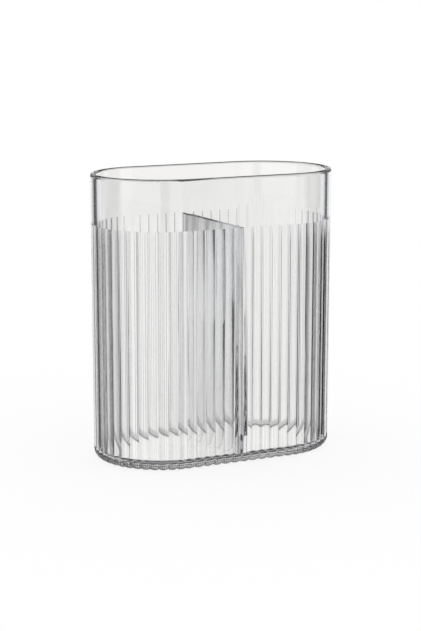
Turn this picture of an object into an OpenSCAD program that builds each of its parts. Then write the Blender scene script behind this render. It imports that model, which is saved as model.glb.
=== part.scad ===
// Clear racetrack-shaped cup for toothbrushes, with a reeded wall and a lift-out divider.
// Millimetres, +Z up, front towards -Y. The origin is on the table, under the middle of the cup.

/* [Cup] */
// Length of the cup at the rim
length = 100; // [85:1:125]
// Width of the cup at the rim, front to back
width = 55; // [45:1:70]
// Height of the cup
height = 113; // [90:1:140]
// Thickness of the side wall
wall = 2.4; // [2:0.1:3.2]
// Thickness of the floor
floor_t = 2; // [1.5:0.1:4]
// How much each side of the base lies inside the rim, so that the cup leaves its mould
draft = 0.35; // [0.1:0.05:0.8]
// Radius of the inside corner between the floor and the wall
inside_corner_r = 1.5; // [1:0.1:3]
// Height of the smooth band between the reeds and the top of the rim
band_h = 19.7; // [10:0.1:35]

/* [Reeds] */
// Number of reeds round the cup
reed_count = 66; // [56:2:84]
// Radius of a reed's face, and of the bead where it turns under the cup
reed_r = 3.9; // [3.5:0.1:4.5]
// How far the crests of the reeds lie behind the face of the smooth band
crest_step = 0.12; // [0.06:0.02:0.3]
// Depth of the flat on which each bead stands
bead_flat = 0.15; // [0.05:0.05:0.4]
// Height of the underside above the table, inside the ring of beads
recess_h = 1; // [0.8:0.1:1.6]

/* [Divider] */
// Thickness of the divider
divider_t = 1.5; // [1.3:0.1:3]
// Radius along the top edge of the divider
divider_edge_r = 0.4; // [0.2:0.05:0.6]
// Clearance between the divider and the cup
divider_gap = 0.3; // [0.2:0.05:0.5]
// Radius of the half-round ribs that hold the divider upright
rib_r = 0.7; // [0.5:0.05:1.2]
// Height of the ribs above the floor
rib_h = 8; // [5:1:60]

/* [Hidden] */
$fn = 72;
// Length by which hidden ends run into the solid behind them, and cuts run past a face
overrun = 0.5;
// Part of the wall that covers the core behind the grooves
cover_share = 0.2;
// Width of a reed's solid as a share of the spacing, so that neighbours overlap
reed_width_share = 1.12;
// Height of a bead's solid inside the floor, as a share of the floor's thickness
bead_cover_share = 0.75;
// Angle between the corners of the hidden core where it follows the beads
core_turn = 30;

base_r = width / 2 - draft;
slope = draft / height;
lean = atan(slope);
half_straight = (length - width) / 2;
straight = 2 * half_straight;
bend = PI * width / 2;
reed_spacing = 2 * (straight + bend) / reed_count;
reed_w = reed_width_share * reed_spacing;
groove_depth = reed_r - sqrt(pow(reed_r, 2) - pow(reed_spacing / 2, 2));
core_inset = crest_step + groove_depth + cover_share * wall;
reed_depth = (core_inset + wall) / 2;
bead_z = reed_r - bead_flat;
floor_top = recess_h + floor_t;
bead_top = recess_h + bead_cover_share * floor_t;
reed_top = height - band_h;
rim_r = wall / 2;
rim_z = height - rim_r;

core_r = reed_r - core_inset;
core_x = base_r + slope * bead_z - reed_r;

// Half the width of the outer face at a height
function outer_r(z) = base_r + slope * z;
// Half the width of the inside at a height
function inner_r(z) = outer_r(z) - wall;

// Sweeps a half section, drawn with its distance from the middle along x, round the racetrack
module racetrack() {
    for (turn = [0, 180])
        rotate(turn)
            translate([half_straight, 0, 0])
                rotate(-90)
                    rotate_extrude(angle = 180)
                        children();
    translate([-half_straight, 0, 0])
        rotate([90, 0, 90])
            linear_extrude(straight) {
                children();
                mirror([1, 0]) children();
            }
}

// Puts a child that is drawn at the front centre at a distance along the wall, left or right of there
module along_wall(distance) {
    side = sign(distance);
    past = abs(distance) - half_straight;
    if (past <= 0)
        translate([distance, 0, 0]) children();
    else if (past < bend)
        translate([side * half_straight, 0, 0]) rotate(side * 180 * past / bend) children();
    else
        translate([side * (half_straight + bend - past), 0, 0]) rotate(180) children();
}

// Half section of the inside, with its rounded corner at the floor
module hollow_section(gap = 0, top = height) {
    corner_r = inside_corner_r - gap;
    corner_z = floor_top + inside_corner_r;
    corner_x = inner_r(corner_z) - inside_corner_r;
    polygon([
        [0, corner_z - corner_r],
        [corner_x, corner_z - corner_r],
        [corner_x, corner_z],
        [inner_r(corner_z) - gap, corner_z],
        [inner_r(top) - gap, top],
        [0, top]
    ]);
    translate([corner_x, corner_z])
        intersection() {
            circle(corner_r);
            translate([0, -corner_r]) square(corner_r);
        }
}

// Half section of the wall: a core behind the reeds, the smooth band over them and a round rim
module shell_section() {
    difference() {
        polygon([
            [0, recess_h],
            for (turn = [90 : -core_turn : 0])
                [core_x + core_r * cos(turn), max(recess_h, bead_z - core_r * sin(turn))],
            [outer_r(reed_top) - core_inset, reed_top],
            [outer_r(reed_top), reed_top],
            [outer_r(rim_z), rim_z],
            [0, rim_z]
        ]);
        hollow_section();
    }
    translate([outer_r(rim_z) - rim_r, rim_z])
        intersection() {
            circle(rim_r);
            translate([-rim_r, 0]) square([wall, rim_r]);
        }
}

// One convex reed that widens with the draft and ends in a ball-shaped bead under the corner.
// It is drawn with the middle of the ball at height zero, so that the balls of all reeds are level.
module reed() {
    reed_h = reed_top + overrun - bead_z;
    face = -outer_r(height);
    back = reed_depth - base_r;
    bead_back = back + 2 * reed_r;
    intersection() {
        translate([0, reed_r + crest_step - outer_r(bead_z), 0])
            rotate_extrude() {
                intersection() {
                    circle(reed_r);
                    translate([0, -reed_r]) square(reed_r);
                }
                polygon([[0, 0], [reed_r, 0], [reed_r + slope * reed_h, reed_h], [0, reed_h]]);
            }
        translate([-reed_w / 2, 0, 0])
            rotate([90, 0, 90])
                linear_extrude(reed_w)
                    polygon([
                        [face, -bead_z],
                        [bead_back, -bead_z],
                        [bead_back, bead_top - bead_z],
                        [back, bead_top - bead_z],
                        [back, reed_h],
                        [face, reed_h]
                    ]);
    }
}

// Half-round rib on the inside of the front wall, beside the divider
module guide_rib() {
    foot_z = floor_top - floor_t / 2;
    translate([divider_t / 2 + divider_gap + rib_r, -inner_r(foot_z), foot_z])
        rotate([lean, 0, 0]) {
            straight_h = rib_h + floor_t / 2 - rib_r;
            cylinder(h = straight_h, r = rib_r);
            translate([0, 0, straight_h]) sphere(rib_r);
        }
}

module cup() {
    color("aliceblue", 0.4) {
        racetrack() shell_section();
        // The reeds stand in pairs either side of the middle, where the divider meets the wall
        translate([0, 0, bead_z])
            for (i = [1 : reed_count])
                along_wall((i - (reed_count + 1) / 2) * reed_spacing) reed();
        for (turn = [0, 180])
            rotate(turn) {
                guide_rib();
                mirror([1, 0, 0]) guide_rib();
            }
    }
}

// Section of the divider across its thickness, rounded along the top
module divider_edge_section() {
    top_w = divider_t - 2 * divider_edge_r;
    translate([-divider_t / 2, 0]) square([divider_t, reed_top - divider_edge_r]);
    translate([-top_w / 2, 0]) square([top_w, reed_top]);
    for (side = [-1, 1])
        translate([side * top_w / 2, reed_top - divider_edge_r]) circle(divider_edge_r);
}

module divider() {
    color("aliceblue", 0.4)
        intersection() {
            translate([-divider_t, 0, 0])
                rotate([90, 0, 90])
                    linear_extrude(2 * divider_t) {
                        hollow_section(divider_gap, reed_top);
                        mirror([1, 0]) hollow_section(divider_gap, reed_top);
                    }
            translate([0, width / 2, 0])
                rotate([90, 0, 0])
                    linear_extrude(width)
                        divider_edge_section();
        }
}

cup();
divider();
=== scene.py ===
import math

import bmesh
import bpy
from bpy.props import FloatProperty, FloatVectorProperty, IntProperty, PointerProperty
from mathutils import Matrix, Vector


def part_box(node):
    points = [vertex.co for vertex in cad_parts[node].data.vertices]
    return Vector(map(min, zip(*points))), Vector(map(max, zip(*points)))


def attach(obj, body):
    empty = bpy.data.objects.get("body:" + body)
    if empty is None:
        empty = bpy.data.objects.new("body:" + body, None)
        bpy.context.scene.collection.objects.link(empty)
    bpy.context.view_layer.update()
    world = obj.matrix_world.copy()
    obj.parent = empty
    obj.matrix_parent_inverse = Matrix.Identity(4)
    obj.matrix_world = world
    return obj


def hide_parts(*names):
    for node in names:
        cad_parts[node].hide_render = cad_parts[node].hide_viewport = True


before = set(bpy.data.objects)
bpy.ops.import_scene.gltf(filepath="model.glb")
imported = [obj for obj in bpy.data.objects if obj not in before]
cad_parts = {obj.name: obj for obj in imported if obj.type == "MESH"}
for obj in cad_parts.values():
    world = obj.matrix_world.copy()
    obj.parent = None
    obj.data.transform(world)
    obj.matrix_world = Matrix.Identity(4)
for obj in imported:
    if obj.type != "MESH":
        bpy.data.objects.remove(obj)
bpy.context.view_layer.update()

bl_info = {
    "name": "Reeded toothbrush cup",
    "version": (1, 0, 0),
    "blender": (4, 5, 0),
    "location": "3D View > Sidebar > Cup",
    "description": "Clear reeded cup with a lift-out divider, on a pale studio floor",
    "category": "Object",
}

MM = 0.001
CUP_LOW, CUP_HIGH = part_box("cup")
DIVIDER_LOW, DIVIDER_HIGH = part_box("divider")

# Columns of the cup's mesh to each reed, and to each half of a guide rib
COLUMNS_PER_REED = 16
RIB_COLUMNS = 3
# Steps of the cup's section: round its curves, and down the face of a reed
CORNER_STEPS = 6
RIB_TOP_STEPS = 3
RIM_STEPS = 12
REED_STEPS = 3
BEAD_STEPS = 10
BEAD_BACK_STEPS = 4
# Steps round the lower corners of the divider, and round its top edge
FOOT_CORNER_STEPS = 8
TOP_EDGE_STEPS = 6
# Rows this close to a curve's ends keep the long faces beside it flat in the shading
HOLD = 0.05 * MM
# An edge of the divider where its surface turns more than this stays sharp
SHARP_TURN = math.radians(35)
# A difference smaller than this is only rounding
TOLERANCE = 1e-6

# Detail of the two noise patterns in the plastic, and the value in the middle of their range
FLOW_DETAIL = 2
DULL_DETAIL = 3
NOISE_MIDDLE = 0.5
# Numbers of a Mix node's sockets for colours, which share their names with others
MIX_FACTOR, MIX_FIRST, MIX_SECOND = 0, 6, 7
MIX_RESULT = 2

WHITE = (1, 1, 1)
# Distance from the middle of the floor to its edges
FLOOR_REACH = 4
# Width of the camera's sensor in millimetres
SENSOR_WIDTH = 36
# How often light may turn or bounce in the clear plastic
LIGHT_BOUNCES = 16

# Light of the studio that the clear plastic shows: a white wall behind the cup and white walls
# beside the camera, with dark cards between them. Each stop is an angle in degrees to the right
# of the camera's direction, and the brightness there.
# Beside and behind the camera, the reeds and the smooth band show the same.
BEHIND_LEFT = ((-180, 1.2), (-113, 1.2), (-110, 0), (-78, 0))
BEHIND_RIGHT = (
    (68, 0.8), (70, 0), (101, 0), (104, 1.2), (124, 1.2), (127, 0.6), (141, 0.6), (145, 0.95),
    (162, 0.95), (166, 0), (177, 0), (180, 1.2),
)
# What the reeds show, in 32 stops, the most that a ramp takes
CARDS_FOR_REEDS = (
    *BEHIND_LEFT,
    (-76, 0.8), (-68, 0.8), (-66, 0), (-32, 0), (-30, 0.55), (-24, 0.55), (-20, 0.5),
    (-16, 1.1), (2, 1), (6, 0.85), (10, 1.1), (18, 1.1), (22, 0.8), (25, 0), (57, 0), (59, 0.8),
    *BEHIND_RIGHT,
)
# What the smooth band shows, which is just under the horizon
CARDS_FOR_BAND = (
    *BEHIND_LEFT,
    (-75, 0.9), (-48, 0.9), (-46, 0), (-32, 0), (-30, 0.65), (-23, 0.65), (-19, 1), (20, 1),
    (33, 0.9), (35, 0), (47, 0), (50, 0.8),
    *BEHIND_RIGHT,
)
# Degrees above the horizon, and the share of the band's cards there
BAND_REACH = ((-90, 0), (-8.1, 0), (-7.6, 1), (1, 1), (3, 0), (90, 0))
# Degrees above the horizon, and how much of the walls and cards shows there
CARD_REACH = ((-90, 0), (-26, 0), (-20, 1), (0, 1), (1, 0), (4, 0), (5, 1.4), (7, 1.4), (8, 0),
              (10, 0), (11, 1.1), (18, 1.1), (19, 0), (90, 0))
# Degrees above the horizon, and the brightness there apart from the walls and cards
FILL = ((-90, 0.4), (-74, 0.4), (-66, 0.05), (-46, 0.05), (-40, 0.7), (-26, 0.7), (-20, 0),
        (44, 0), (50, 0.4), (90, 0.4))
# Degrees away from the camera's direction, to either side, and the share of cool light there
COOLNESS = ((0, 0), (18, 0), (30, 1), (180, 1))

# Rows of the cup's section that stay sharp all round, and rows that the grooves run through
SHARP_ROWS = ("band_foot", "reed_top", "flat_front", "flat_back", "recess_edge")
GROOVED_ROWS = ("reed_top", "reed", "flat_front", "flat_back", "recess_edge")


def length(name, description, default):
    """A size property in metres."""
    return FloatProperty(name=name, description=description, default=default, precision=5,
                         min=0, subtype="DISTANCE", unit="LENGTH")


class CupSizes(bpy.types.PropertyGroup):
    """Sizes of the cup."""

    length: length("Length", "Length of the cup at the rim", CUP_HIGH.x - CUP_LOW.x)
    width: length("Width", "Width of the cup at the rim", CUP_HIGH.y - CUP_LOW.y)
    height: length("Height", "Height of the cup", CUP_HIGH.z - CUP_LOW.z)
    wall: length("Wall", "Thickness of the side wall", 2.4 * MM)
    floor: length("Floor", "Thickness of the floor", 2 * MM)
    draft: length("Draft", "How far the base lies inside the rim on each side", 0.35 * MM)
    corner: length("Inside corner", "Radius between the floor and the wall", 1.5 * MM)
    band: length("Band", "Height of the smooth band over the reeds", 19.7 * MM)
    recess: length("Recess", "Height of the underside above the table", 1 * MM)
    reed_count: IntProperty(name="Reeds", description="Number of reeds round the cup",
                            default=66, min=8)
    reed_radius: length("Reed radius", "Radius of a reed's face and of its bead", 3.9 * MM)
    crest_step: length("Crest step", "How far the crests lie behind the band", 0.12 * MM)
    bead_flat: length("Bead flat", "Depth of the flat under each bead", 0.15 * MM)
    rib_radius: length("Rib radius", "Radius of the ribs beside the divider", 0.7 * MM)
    rib_height: length("Rib height", "Height of the ribs above the floor", 8 * MM)
    rib_gap: length("Rib gap", "Clearance between each rib and the divider", 0.3 * MM)


class DividerSizes(bpy.types.PropertyGroup):
    """Sizes of the divider."""

    corner: length("Foot corner", "Radius of the two lower corners", 1.2 * MM)
    top_edge: length("Top edge", "Radius along the top edge", 0.4 * MM)


class PlasticLook(bpy.types.PropertyGroup):
    """Colour and finish of the clear plastic."""

    cup_tint: FloatVectorProperty(name="Cup tint", description="Colour of the cup's plastic",
                                  default=(0.9, 0.902, 0.9), size=3, min=0, max=1,
                                  subtype="COLOR")
    divider_tint: FloatVectorProperty(name="Divider tint", size=3, min=0, max=1,
                                      description="Colour of the divider's plastic",
                                      default=(0.95, 0.953, 0.957), subtype="COLOR")
    cloudiness: FloatProperty(name="Cloudiness", description="How much the tint varies with the "
                              "flow marks", default=0.3, min=0, max=1, subtype="FACTOR")
    roughness: FloatProperty(name="Roughness", description="Roughness of the polished faces",
                             default=0.012, min=0, max=1, subtype="FACTOR")
    ior: FloatProperty(name="Refractive index", description="Refractive index of the plastic",
                       default=1.49, min=1, max=2)
    flow_scale: FloatProperty(name="Flow scale", description="How close the flow marks are, per "
                              "metre", default=60, min=0)
    flow_depth: length("Flow depth", "Depth of the flow marks", 0.002 * MM)
    dull_scale: FloatProperty(name="Dull scale", description="How close the dull patches are, "
                              "per metre", default=140, min=0)


class StudioLook(bpy.types.PropertyGroup):
    """Light, floor and camera."""

    floor_glow: FloatProperty(name="Floor glow", description="Part of the floor's white that "
                              "the shadow doesn't reach", default=0.85, min=0, max=1,
                              subtype="FACTOR")
    warm: FloatVectorProperty(name="Warm light", description="Colour of the wall behind the cup",
                              default=(1.01, 1.0, 0.985), size=3, min=0, max=2, subtype="COLOR")
    cool: FloatVectorProperty(name="Cool light", description="Colour of the walls at the sides",
                              default=(0.97, 0.985, 1.04), size=3, min=0, max=2,
                              subtype="COLOR")
    focal: FloatProperty(name="Lens", description="Focal length of the camera in millimetres",
                         default=105.7, min=20)
    distance: length("Distance", "Distance from the camera to its target", 0.740)
    aim_right: FloatProperty(name="Aim right", description="Camera target, right of the middle",
                             default=-0.00071, precision=5, subtype="DISTANCE", unit="LENGTH")
    aim_up: FloatProperty(name="Aim up", description="Camera target, above the middle",
                          default=-0.00187, precision=5, subtype="DISTANCE", unit="LENGTH")
    azimuth: FloatProperty(name="Azimuth", description="Turn of the camera round the cup",
                           default=math.radians(-26.65), subtype="ANGLE", unit="ROTATION")
    elevation: FloatProperty(name="Elevation", description="Rise of the camera over the table",
                             default=math.radians(10.43), subtype="ANGLE", unit="ROTATION")


class Socket:
    """A shader output that takes part in Python sums: each sum adds its Math node."""

    def __init__(self, graph, output):
        self.graph = graph
        self.output = output

    def maths(self, operation, *values):
        """The result of a Math node on values, each of them a number or a socket."""
        inputs = dict(enumerate(values))
        return self.graph.out(self.graph.add("ShaderNodeMath", {"operation": operation}, inputs))

    def __add__(self, other):
        return self.maths("ADD", self, other)

    __radd__ = __add__

    def __mul__(self, other):
        return self.maths("MULTIPLY", self, other)

    __rmul__ = __mul__

    def __sub__(self, other):
        return self.maths("SUBTRACT", self, other)

    def __rsub__(self, other):
        return self.maths("SUBTRACT", other, self)

    def __truediv__(self, other):
        return self.maths("DIVIDE", self, other)

    def angle_from(self, other):
        """The angle whose tangent is this over the other."""
        return self.maths("ARCTAN2", self, other)

    def or_more(self, other):
        """The greater of this and the other."""
        return self.maths("MAXIMUM", self, other)


class Graph:
    """One node tree, built node by node."""

    def __init__(self, tree):
        self.tree = tree
        tree.nodes.clear()

    def add(self, kind, settings=None, inputs=None):
        """Adds a node of a kind, sets its settings, then gives its sockets values or links."""
        node = self.tree.nodes.new(kind)
        for key, value in (settings or {}).items():
            if key == "stops":
                ramp = node.color_ramp.elements
                for place, shade in value[len(ramp):]:
                    ramp.new(place)
                for element, (place, shade) in zip(ramp, value):
                    element.position = place
                    element.color = (shade, shade, shade, 1)
            else:
                setattr(node, key, value)
        for key, value in (inputs or {}).items():
            if isinstance(value, Socket):
                self.tree.links.new(value.output, node.inputs[key])
            else:
                node.inputs[key].default_value = value
        return node

    def out(self, node, key=0):
        """An output of a node, as a socket for sums and links."""
        return Socket(self, node.outputs[key])

    def parts(self, vector):
        """The x, y and z of a vector."""
        node = self.add("ShaderNodeSeparateXYZ", {}, {0: vector})
        return [self.out(node, key) for key in range(3)]

    def mix(self, factor, first, second):
        """A colour between two others, each of them a colour or a socket."""
        inputs = {MIX_FACTOR: factor, MIX_FIRST: first, MIX_SECOND: second}
        for key in (MIX_FIRST, MIX_SECOND):
            if not isinstance(inputs[key], Socket):
                inputs[key] = (*inputs[key], 1)
        node = self.add("ShaderNodeMix", {"data_type": "RGBA"}, inputs)
        return self.out(node, MIX_RESULT)

    def ramp(self, factor, stops):
        """A value that runs evenly from stop to stop."""
        return self.out(self.add("ShaderNodeValToRGB", {"stops": stops}, {0: factor}))


def mesh_piece(name, bm, body, node, material):
    """Turns a bmesh into a piece that rides on a body and stands for its CAD node."""
    data = bpy.data.meshes.new(name)
    bm.to_mesh(data)
    bm.free()
    piece = bpy.data.objects.new(name, data)
    bpy.context.scene.collection.objects.link(piece)
    data.materials.append(material)
    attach(piece, body)
    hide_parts(node)


def clear_plastic(name, tint, look):
    """Clear moulded plastic: polished, with faint flow marks and dull patches."""
    material = bpy.data.materials.new(name)
    material.use_nodes = True
    graph = Graph(material.node_tree)
    place = graph.out(graph.add("ShaderNodeTexCoord"), "Object")

    def noise(scale, detail):
        return graph.out(graph.add("ShaderNodeTexNoise", {}, {
            "Vector": place, "Scale": scale, "Detail": detail}))

    flow = noise(look.flow_scale, FLOW_DETAIL)
    dull = noise(look.dull_scale, DULL_DETAIL)
    clearer_tint = [channel ** (1 - look.cloudiness) for channel in tint]
    bump = graph.add("ShaderNodeBump", {}, {
        "Height": flow, "Strength": 1.0, "Distance": look.flow_depth})
    shader = graph.add("ShaderNodeBsdfPrincipled", {}, {
        "Base Color": graph.mix(flow, tint, clearer_tint),
        "Roughness": look.roughness * (dull + (1 - NOISE_MIDDLE)),
        "IOR": look.ior,
        "Transmission Weight": 1.0,
        "Normal": graph.out(bump),
    })
    graph.add("ShaderNodeOutputMaterial", {}, {"Surface": graph.out(shader)})
    return material


class WallPath:
    """Where the wall runs in plan, and how its reeds lie along it."""

    def __init__(self, sizes):
        self.half_straight = (sizes.length - sizes.width) / 2
        self.radius = sizes.width / 2
        self.bend = math.pi * self.radius
        self.spacing = 2 * (2 * self.half_straight + self.bend) / sizes.reed_count
        self.slope = sizes.draft / sizes.height
        self.base = self.radius - sizes.draft
        self.bead_z = sizes.reed_radius - sizes.bead_flat
        self.axis = self.outer(self.bead_z) - sizes.reed_radius - sizes.crest_step

    def outer(self, z):
        """Distance of the outer face from the middle at a height."""
        return self.base + self.slope * z

    def ray(self, along):
        """The start on the spine and the outward direction, at a distance along the wall."""
        side = math.copysign(1, along)
        past = abs(along) - self.half_straight
        if past <= 0:
            return Vector((along, 0)), Vector((0, -1))
        if past < self.bend:
            turn = math.pi * past / self.bend
            return (Vector((side * self.half_straight, 0)),
                    Vector((side * math.sin(turn), -math.cos(turn))))
        return Vector((side * (self.half_straight + self.bend - past), 0)), Vector((0, 1))

    def along(self, column):
        """Distance along the wall, from the middle of the front, of a column of the mesh."""
        return self.spacing * column / COLUMNS_PER_REED

    def reed(self, column):
        """Where the reed's axis lies from the column's ray: along it, and beside it."""
        start, outward = self.ray(self.along(column))
        reed_start, reed_outward = self.ray((column // COLUMNS_PER_REED + 0.5) * self.spacing)
        away = reed_start + reed_outward * self.axis - start
        return away.dot(outward), away.dot(Vector((-outward.y, outward.x)))


def section_rows(sizes, path, column):
    """The cup's section at a column of the mesh: named rows of distance and height."""
    height, radius = sizes.height, sizes.reed_radius
    floor_top = sizes.recess + sizes.floor
    reed_top = height - sizes.band
    rim_r = sizes.wall / 2
    rim_z = height - rim_r
    rim_x = path.outer(rim_z) - rim_r
    corner_z = floor_top + sizes.corner
    corner_x = path.outer(corner_z) - sizes.wall - sizes.corner
    rib_end = floor_top + sizes.rib_height - sizes.rib_radius
    # The floor, its corner and the inner wall
    rows = [("floor_middle", 0, floor_top), ("inside", corner_x - HOLD, floor_top)]
    for step in range(CORNER_STEPS + 1):
        turn = math.pi / 2 * step / CORNER_STEPS
        rows.append(("inside", corner_x + sizes.corner * math.sin(turn),
                     corner_z - sizes.corner * math.cos(turn)))
    heights = [corner_z + HOLD]
    for step in range(RIB_TOP_STEPS + 1):
        turn = math.pi / 2 * step / RIB_TOP_STEPS
        heights.append(rib_end + sizes.rib_radius * math.sin(turn))
    for z in (*heights, rim_z - HOLD):
        rows.append(("inside", path.outer(z) - sizes.wall, z))
    # The rim, and the band down to the reeds
    for step in range(RIM_STEPS + 1):
        turn = math.pi * (1 - step / RIM_STEPS)
        rows.append(("rim", rim_x + rim_r * math.cos(turn), rim_z + rim_r * math.sin(turn)))
    rows.append(("rim", path.outer(rim_z - HOLD), rim_z - HOLD))
    rows.append(("band_foot", path.outer(reed_top), reed_top))
    # The reed, and its bead from the front round to the underside
    middle, beside = path.reed(column)
    for step in range(REED_STEPS + 1):
        z = reed_top + (path.bead_z + HOLD - reed_top) * step / REED_STEPS
        face = radius + path.slope * (z - path.bead_z)
        name = "reed" if step else "reed_top"
        rows.append((name, middle + math.sqrt(face ** 2 - beside ** 2), z))
    bead = math.sqrt(radius ** 2 - beside ** 2)
    lowest = math.asin(min(1, path.bead_z / bead))
    inmost = math.pi - math.asin((path.bead_z - sizes.recess) / bead)
    for step in range(BEAD_STEPS + 1):
        turn = lowest * step / BEAD_STEPS
        rows.append(("reed" if step < BEAD_STEPS else "flat_front",
                     middle + bead * math.cos(turn), path.bead_z - bead * math.sin(turn)))
    for step in range(BEAD_BACK_STEPS + 1):
        turn = math.pi - lowest + (inmost - math.pi + lowest) * step / BEAD_BACK_STEPS
        name = {0: "flat_back", BEAD_BACK_STEPS: "recess_edge"}.get(step, "reed")
        rows.append((name, middle + bead * math.cos(turn), path.bead_z - bead * math.sin(turn)))
    rows.append(("underside_middle", 0, sizes.recess))
    return rows


def rib_shift(sizes, path, start, row):
    """How far sideways a row's point moves to lie on a guide rib, and its distance then."""
    name, distance, z = row
    rib_end = sizes.recess + sizes.floor + sizes.rib_height - sizes.rib_radius
    rib_place = DIVIDER_HIGH.x + sizes.rib_gap + sizes.rib_radius
    beside = round((abs(start.x) - rib_place) / path.along(1))
    on_straight = abs(start.x) < path.half_straight
    if name != "inside" or abs(beside) > RIB_COLUMNS or not on_straight:
        return 0, distance
    share = 1 - max(0, z - rib_end) ** 2 / sizes.rib_radius ** 2
    if share < TOLERANCE:
        return 0, distance
    reach = sizes.rib_radius * math.sqrt(share)
    turn = math.pi / 2 * beside / RIB_COLUMNS
    face = path.outer(z) - sizes.wall - reach * math.cos(turn)
    side = rib_place + reach * math.sin(turn) - abs(start.x)
    return math.copysign(side, start.x), min(distance, face)


class CUP_OT_cup(bpy.types.Operator):
    """Make the clear cup with its reeds, beads, band, rim and guide ribs"""

    bl_idname = "toothbrush_cup.cup"
    bl_label = "Cup"

    def execute(self, context):
        sizes = context.scene.cup_sizes
        look = context.scene.plastic_look
        path = WallPath(sizes)
        columns = sizes.reed_count * COLUMNS_PER_REED
        bm = bmesh.new()
        row_of = bm.verts.layers.int.new("row")
        self.spin_rows(bm, row_of, len(section_rows(sizes, path, 0)), columns)
        creases = self.shape_wall(bm, row_of, columns, sizes, path)
        for edge in bm.edges:
            first, second = edge.verts
            edge.smooth = not creases[first] & creases[second]
        for face in bm.faces:
            face.smooth = True
        bmesh.ops.remove_doubles(bm, verts=bm.verts, dist=TOLERANCE)
        bmesh.ops.recalc_face_normals(bm, faces=bm.faces)
        mesh_piece("reeded_cup", bm, "cup", "cup",
                   clear_plastic("cup_clear_plastic", look.cup_tint, look))
        return {"FINISHED"}

    def spin_rows(self, bm, row_of, rows, columns):
        """Makes a ring of columns, each a chain of points with one point to each row."""
        chain = [bm.verts.new((1, 0, row)) for row in range(rows)]
        for row, vert in enumerate(chain):
            vert[row_of] = row
        edges = [bm.edges.new(pair) for pair in zip(chain, chain[1:])]
        bmesh.ops.spin(bm, geom=chain + edges, cent=(0, 0, 0), axis=(0, 0, 1),
                       angle=2 * math.pi, steps=columns, use_merge=True)

    def shape_wall(self, bm, row_of, columns, sizes, path):
        """Moves the ring's points on to the cup, and gives the creases that meet at each."""
        sections = {}
        creases = {}
        for vert in bm.verts:
            turn = math.atan2(vert.co.y, vert.co.x) / (2 * math.pi)
            column = (round(turn * columns) + columns // 2) % columns - columns // 2
            if column not in sections:
                sections[column] = section_rows(sizes, path, column)
            name, distance, z = row = sections[column][vert[row_of]]
            start, outward = path.ray(path.along(column))
            sideways, distance = rib_shift(sizes, path, start, row)
            plan = start + outward * distance
            vert.co = (plan.x + sideways, plan.y, z)
            creases[vert] = {name}.intersection(SHARP_ROWS)
            if column % COLUMNS_PER_REED == 0 and name in GROOVED_ROWS:
                creases[vert].add(column)
        return creases


class CUP_OT_divider(bpy.types.Operator):
    """Make the flat clear divider"""

    bl_idname = "toothbrush_cup.divider"
    bl_label = "Divider"

    def execute(self, context):
        sizes = context.scene.divider_sizes
        look = context.scene.plastic_look
        low, high = DIVIDER_LOW, DIVIDER_HIGH
        bm = bmesh.new()
        bmesh.ops.create_cube(bm, size=1)
        bmesh.ops.scale(bm, vec=high - low, verts=bm.verts)
        bmesh.ops.translate(bm, vec=(low + high) / 2, verts=bm.verts)

        def edges_where(test):
            """The edges with both their ends where the test holds."""
            return [e for e in bm.edges if all(test(v.co) for v in e.verts)]

        def bevel(edges, size, segments):
            bmesh.ops.bevel(bm, geom=edges, offset=size, offset_type="OFFSET", affect="EDGES",
                            segments=segments, profile=0.5, material=-1)

        foot_ends = [e for e in edges_where(lambda co: co.z < low.z + TOLERANCE)
                     if abs(e.verts[0].co.y - e.verts[1].co.y) < TOLERANCE]
        bevel(foot_ends, sizes.corner, FOOT_CORNER_STEPS)
        top = edges_where(lambda co: co.z > high.z - TOLERANCE)
        bevel(top, sizes.top_edge, TOP_EDGE_STEPS)
        for face in bm.faces:
            face.smooth = True
        for edge in bm.edges:
            edge.smooth = edge.calc_face_angle(0) < SHARP_TURN
        bmesh.ops.recalc_face_normals(bm, faces=bm.faces)
        mesh_piece("lift_out_divider", bm, "divider", "divider",
                   clear_plastic("divider_clear_plastic", look.divider_tint, look))
        return {"FINISHED"}


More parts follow.
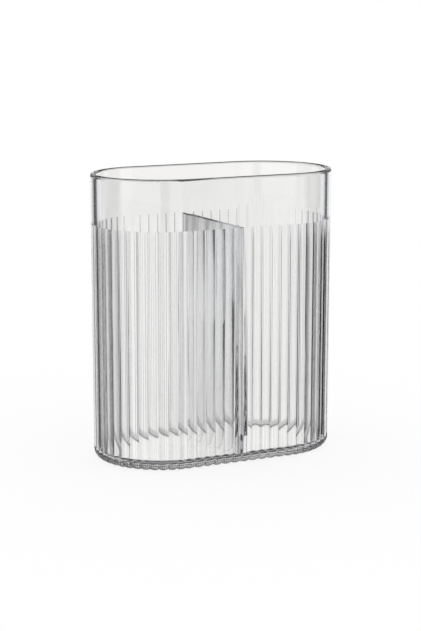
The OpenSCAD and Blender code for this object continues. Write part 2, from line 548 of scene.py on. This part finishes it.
class CUP_OT_stage(bpy.types.Operator):
    """Set up the pale floor, the soft light and the camera"""

    bl_idname = "toothbrush_cup.stage"
    bl_label = "Stage"

    def execute(self, context):
        scene = context.scene
        studio = scene.studio_look
        self.make_floor(scene, studio)
        self.make_world(scene, studio)
        self.make_camera(scene, studio)
        scene.view_settings.view_transform = "Standard"
        return {"FINISHED"}

    def make_floor(self, scene, studio):
        """A flat white floor; its glow is the part of its white that shadows don't reach."""
        bm = bmesh.new()
        bmesh.ops.create_grid(bm, x_segments=1, y_segments=1, size=FLOOR_REACH)
        data = bpy.data.meshes.new("floor")
        bm.to_mesh(data)
        bm.free()
        floor = bpy.data.objects.new("floor", data)
        scene.collection.objects.link(floor)
        floor.visible_glossy = False
        floor.visible_transmission = False
        material = bpy.data.materials.new("white_floor")
        material.use_nodes = True
        graph = Graph(material.node_tree)
        lit = graph.add("ShaderNodeBsdfDiffuse", {}, {"Color": (*WHITE, 1)})
        plain = graph.add("ShaderNodeEmission", {}, {"Color": (*WHITE, 1)})
        mixed = graph.add("ShaderNodeMixShader", {}, {
            0: studio.floor_glow, 1: graph.out(lit), 2: graph.out(plain)})
        graph.add("ShaderNodeOutputMaterial", {}, {"Surface": graph.out(mixed)})
        data.materials.append(material)

    def make_world(self, scene, studio):
        """What lights the scene: plain white, but the clear plastic shows the walls and cards."""
        world = bpy.data.worlds.new("studio")
        world.use_nodes = True
        graph = Graph(world.node_tree)
        towards = graph.out(graph.add("ShaderNodeTexCoord"), "Generated")
        x, y, z = graph.parts(towards)
        ahead = math.radians(90) + studio.azimuth
        ahead_x, ahead_y = math.cos(ahead), math.sin(ahead)
        right = (x * ahead_y - y * ahead_x).angle_from(x * ahead_x + y * ahead_y)

        def by_turn(table):
            """A value from a table over the degrees to the right of the camera's direction."""
            return graph.ramp(right / (2 * math.pi) + 0.5,
                              [(degrees / 360 + 0.5, light) for degrees, light in table])

        def by_height(table):
            """A value from a table over the degrees above the horizon."""
            return graph.ramp(z * 0.5 + 0.5, [(math.sin(math.radians(degrees)) / 2 + 0.5, light)
                                              for degrees, light in table])

        band = by_height(BAND_REACH)
        cards = by_turn(CARDS_FOR_REEDS) * (1 - band) + by_turn(CARDS_FOR_BAND) * band
        pattern = cards * by_height(CARD_REACH) + by_height(FILL)
        light_path = graph.add("ShaderNodeLightPath")
        glossy = graph.out(light_path, "Is Glossy Ray")
        seen = glossy.or_more(graph.out(light_path, "Is Transmission Ray"))
        away = right.or_more(0 - right) / math.pi
        coolness = graph.ramp(away, [(degrees / 180, share) for degrees, share in COOLNESS])
        colour = graph.mix(seen, WHITE, graph.mix(coolness, studio.warm, studio.cool))
        light = graph.add("ShaderNodeBackground", {}, {
            "Color": colour, "Strength": pattern * seen + (1 - seen)})
        graph.add("ShaderNodeOutputWorld", {}, {"Surface": graph.out(light)})
        world.cycles.sampling_method = "NONE"
        scene.world = world
        scene.cycles.max_bounces = LIGHT_BOUNCES
        scene.cycles.transmission_bounces = LIGHT_BOUNCES
        scene.cycles.glossy_bounces = LIGHT_BOUNCES

    def make_camera(self, scene, studio):
        """The camera, to the front left of the cup and a little above it."""
        turn, rise = studio.azimuth, studio.elevation
        right = Vector((math.cos(turn), math.sin(turn), 0))
        back = Vector((math.sin(turn) * math.cos(rise), -math.cos(turn) * math.cos(rise),
                       math.sin(rise)))
        up = back.cross(right)
        data = bpy.data.cameras.new("camera")
        data.lens = studio.focal
        data.sensor_width = SENSOR_WIDTH
        camera = bpy.data.objects.new("camera", data)
        scene.collection.objects.link(camera)
        middle = Vector((0, 0, scene.cup_sizes.height / 2))
        camera.location = (middle + right * studio.aim_right + up * studio.aim_up
                           + back * studio.distance)
        camera.rotation_mode = "QUATERNION"
        camera.rotation_quaternion = (-back).to_track_quat("-Z", "Y")
        scene.camera = camera


class CUP_PT_panel(bpy.types.Panel):
    """Sizes, colours and the steps that make the cup"""

    bl_idname = "CUP_PT_panel"
    bl_label = "Toothbrush cup"
    bl_space_type = "VIEW_3D"
    bl_region_type = "UI"
    bl_category = "Cup"

    def draw(self, context):
        for name in GROUPS:
            group = getattr(context.scene, name)
            box = self.layout.box()
            for key in group.__annotations__:
                box.prop(group, key)
        for operator in OPERATORS:
            self.layout.operator(operator.bl_idname)


GROUPS = {
    "cup_sizes": CupSizes,
    "divider_sizes": DividerSizes,
    "plastic_look": PlasticLook,
    "studio_look": StudioLook,
}
OPERATORS = (CUP_OT_cup, CUP_OT_divider, CUP_OT_stage)


def register():
    for group in (*GROUPS.values(), *OPERATORS, CUP_PT_panel):
        bpy.utils.register_class(group)
    for name, group in GROUPS.items():
        setattr(bpy.types.Scene, name, PointerProperty(type=group))


def unregister():
    for name in GROUPS:
        delattr(bpy.types.Scene, name)
    for group in reversed((*GROUPS.values(), *OPERATORS, CUP_PT_panel)):
        bpy.utils.unregister_class(group)


def main():
    register()
    bpy.ops.toothbrush_cup.cup()
    bpy.ops.toothbrush_cup.divider()
    bpy.ops.toothbrush_cup.stage()


if __name__ == "__main__":
    main()
